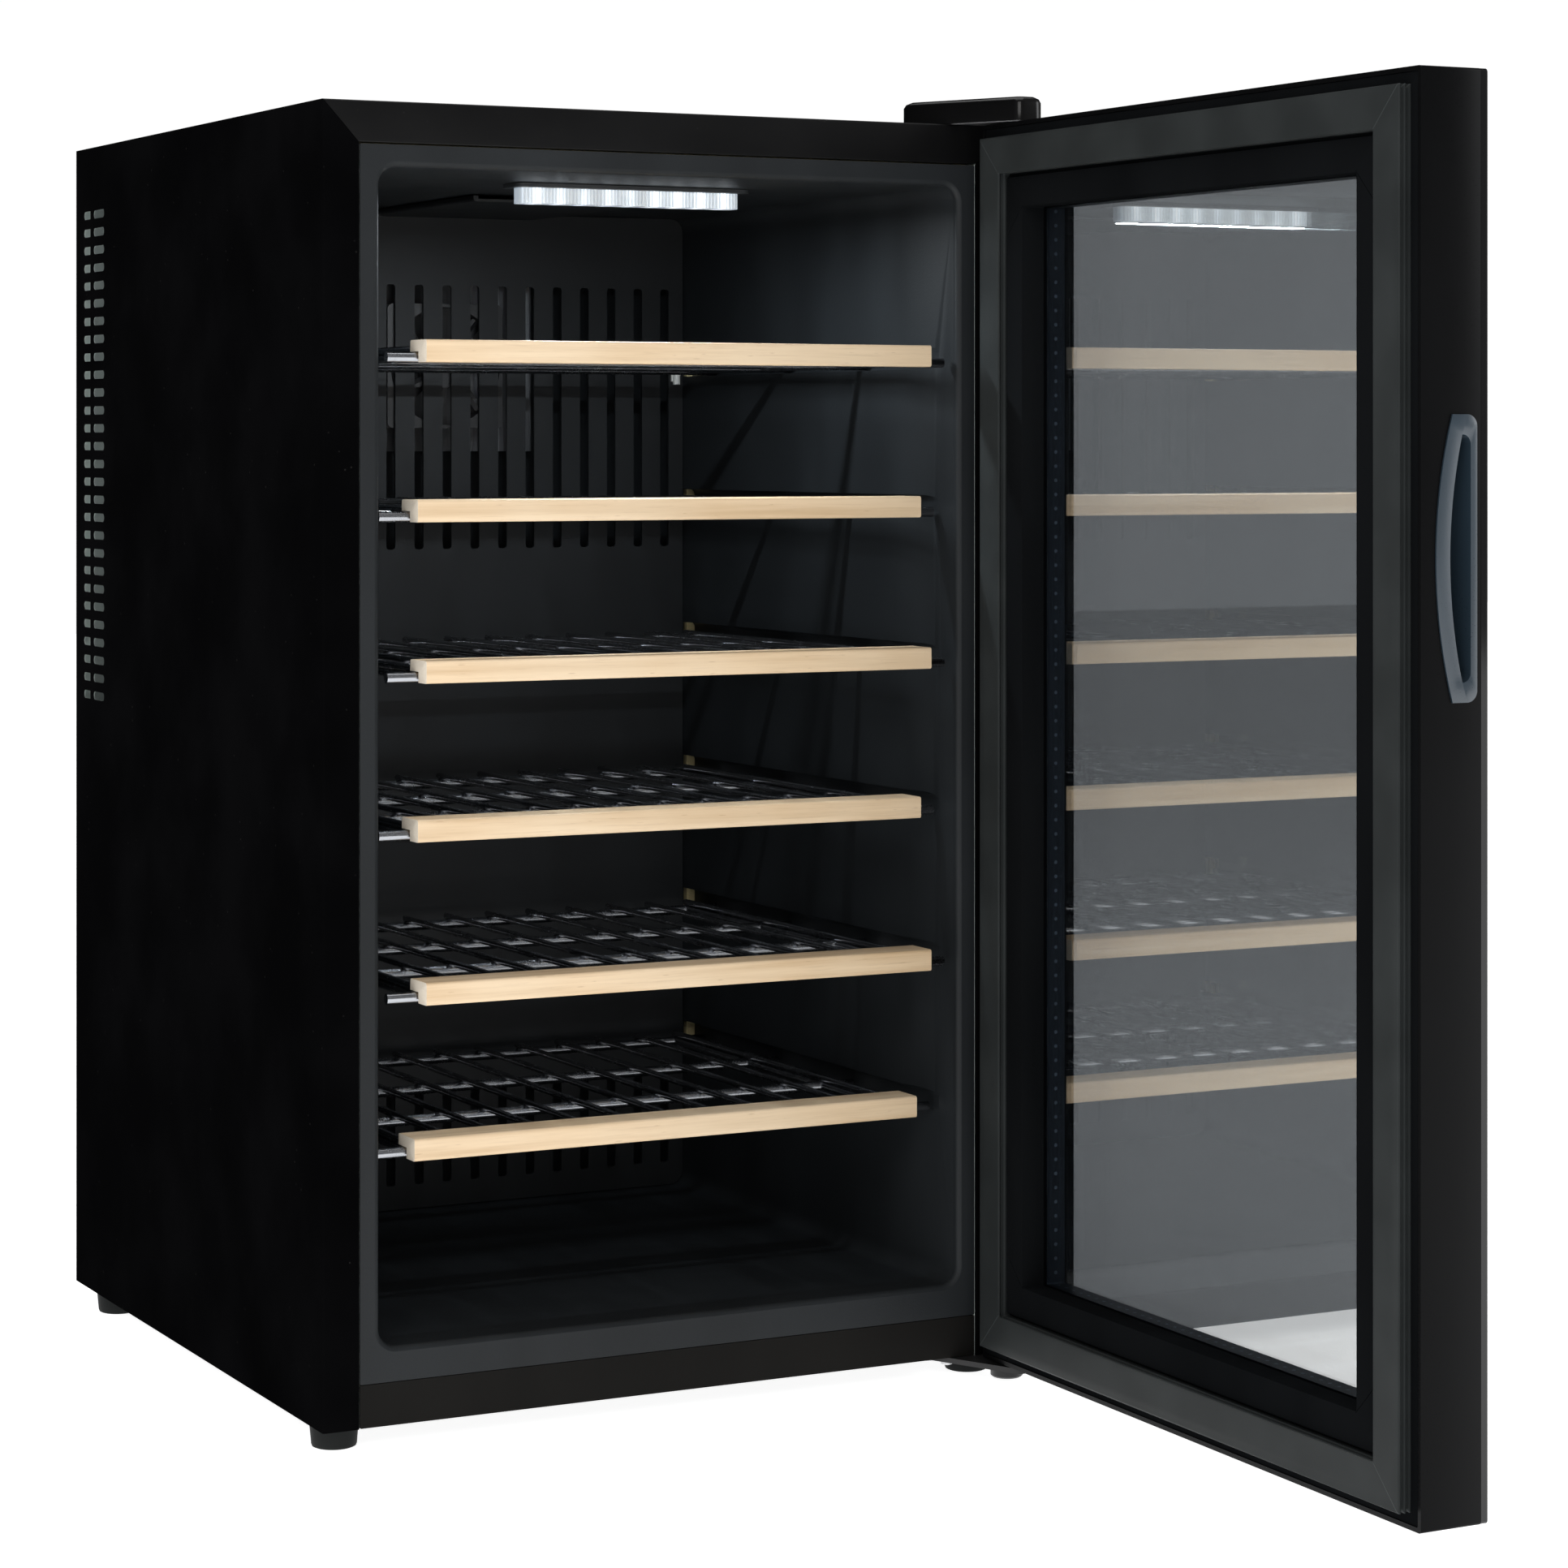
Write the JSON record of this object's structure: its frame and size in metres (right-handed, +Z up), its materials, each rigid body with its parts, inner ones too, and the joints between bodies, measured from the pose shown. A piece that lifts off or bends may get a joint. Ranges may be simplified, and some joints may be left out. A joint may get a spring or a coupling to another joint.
{
  "type": "wine cooler",
  "caption": "Free-standing black wine cooler with a hinged glazed door, sliding wire shelves with beech fronts, an interior lamp and a fan-cooled rear compartment.",
  "frame": {"origin": "on the floor, midway between the two sides, in the plane of the cabinet's front edge", "axes": "+X to the right seen from the front, +Y towards the back, +Z up"},
  "size_m": [0.4502, 0.8917, 0.7523],
  "materials": {
    "cabinet_paint": "satin",
    "rear_paint": "satin",
    "plinth_plastic": "satin",
    "liner_plastic": "satin",
    "insulation": "matte",
    "galvanised": "satin",
    "heat_sink": "satin",
    "fan_plastic": "satin",
    "ceramic_white": "matte",
    "lamp_pcb": "satin",
    "lamp_diffuser": "satin",
    "sensor_plastic": "satin",
    "supply_case": "satin",
    "circuit_board": "satin",
    "inlet_plastic": "satin",
    "wire_insulation": "satin",
    "screw_steel": "satin",
    "foot_plastic": "matte",
    "hinge_steel": "satin",
    "hinge_paint": "satin",
    "hinge_cover_plastic": "satin",
    "door_plastic": "satin",
    "door_liner_plastic": "satin",
    "gasket_rubber": "matte",
    "tinted_glass": "gloss",
    "clear_glass": "gloss",
    "spacer_bar": "satin",
    "handle_plastic": "satin",
    "bush_plastic": "satin",
    "rack_wire": "satin",
    "beech": "satin"
  },
  "bodies": {
    "cabinet": {"side_panel_left": "cabinet_paint", "side_panel_right": "cabinet_paint", "top_panel": "cabinet_paint", "base_pan": "rear_paint", "back_panel": "rear_paint", "plinth_strip": "plinth_plastic", "inner_liner": "liner_plastic", "foam_insulation": "insulation", "compartment_tray": "galvanised", "rear_grille": "rear_paint", "fan_guard": "rear_paint", "hot_sink": "heat_sink", "hot_fan_frame": "fan_plastic", "peltier_module": "ceramic_white", "cold_block": "heat_sink", "cold_sink": "heat_sink", "cold_fan_frame": "fan_plastic", "air_cover": "liner_plastic", "ceiling_channel": "liner_plastic", "lamp_housing": "liner_plastic", "lamp_board": "lamp_pcb", "lamp_lens": "lamp_diffuser", "temperature_sensor": "sensor_plastic", "power_supply": "supply_case", "control_board": "circuit_board", "mains_inlet": "inlet_plastic", "wiring_loom": "wire_insulation", "rear_screws": "screw_steel", "feet": "foot_plastic", "top_hinge_plate": "hinge_steel", "top_hinge_pin": "hinge_steel", "top_hinge_cover": "hinge_cover_plastic", "bottom_hinge_plate": "hinge_paint", "bottom_hinge_pin": "hinge_paint", "hinge_screws": "screw_steel"},
    "door": {"door_frame": "door_plastic", "door_liner": "door_liner_plastic", "door_foam": "insulation", "door_gasket": "gasket_rubber", "door_outer_glass": "tinted_glass", "glazing_inner_pane": "clear_glass", "glazing_middle_pane": "clear_glass", "glazing_spacer": "spacer_bar", "handle_cup": "handle_plastic", "hinge_bushes": "bush_plastic"},
    "hot_fan": {"hot_fan_rotor": "fan_plastic"},
    "cold_fan": {"cold_fan_rotor": "fan_plastic"},
    "shelf_1": {"shelf_rack_1": "rack_wire", "shelf_front_1": "beech"},
    "shelf_2": {"shelf_rack_2": "rack_wire", "shelf_front_2": "beech"},
    "shelf_3": {"shelf_rack_3": "rack_wire", "shelf_front_3": "beech"},
    "shelf_4": {"shelf_rack_4": "rack_wire", "shelf_front_4": "beech"},
    "shelf_5": {"shelf_rack_5": "rack_wire", "shelf_front_5": "beech"},
    "shelf_6": {"shelf_rack_6": "rack_wire", "shelf_front_6": "beech"}
  },
  "joints": [
    {"name": "door_hinge", "type": "hinge", "parent": "cabinet", "child": "door", "pos_m": [0.20455, -0.01805, 0.375], "axis": [0, 0, 1], "range_deg": [-90, 25]},
    {"name": "hot_fan_spin", "type": "hinge", "parent": "cabinet", "child": "hot_fan", "pos_m": [0, 0.43, 0.6], "axis": [0, -1, 0], "continuous": true},
    {"name": "cold_fan_spin", "type": "hinge", "parent": "cabinet", "child": "cold_fan", "pos_m": [0, 0.352, 0.6], "axis": [0, -1, 0], "continuous": true},
    {"name": "shelf_1_slide", "type": "slide", "parent": "cabinet", "child": "shelf_1", "axis": [0, -1, 0], "range_m": [-0.0175, 0.15]},
    {"name": "shelf_2_slide", "type": "slide", "parent": "cabinet", "child": "shelf_2", "axis": [0, -1, 0], "range_m": [-0.005, 0.15]},
    {"name": "shelf_3_slide", "type": "slide", "parent": "cabinet", "child": "shelf_3", "axis": [0, -1, 0], "range_m": [-0.0175, 0.15]},
    {"name": "shelf_4_slide", "type": "slide", "parent": "cabinet", "child": "shelf_4", "axis": [0, -1, 0], "range_m": [-0.005, 0.15]},
    {"name": "shelf_5_slide", "type": "slide", "parent": "cabinet", "child": "shelf_5", "axis": [0, -1, 0], "range_m": [-0.0175, 0.15]},
    {"name": "shelf_6_slide", "type": "slide", "parent": "cabinet", "child": "shelf_6", "axis": [0, -1, 0], "range_m": [0, 0.15]}
  ]
}
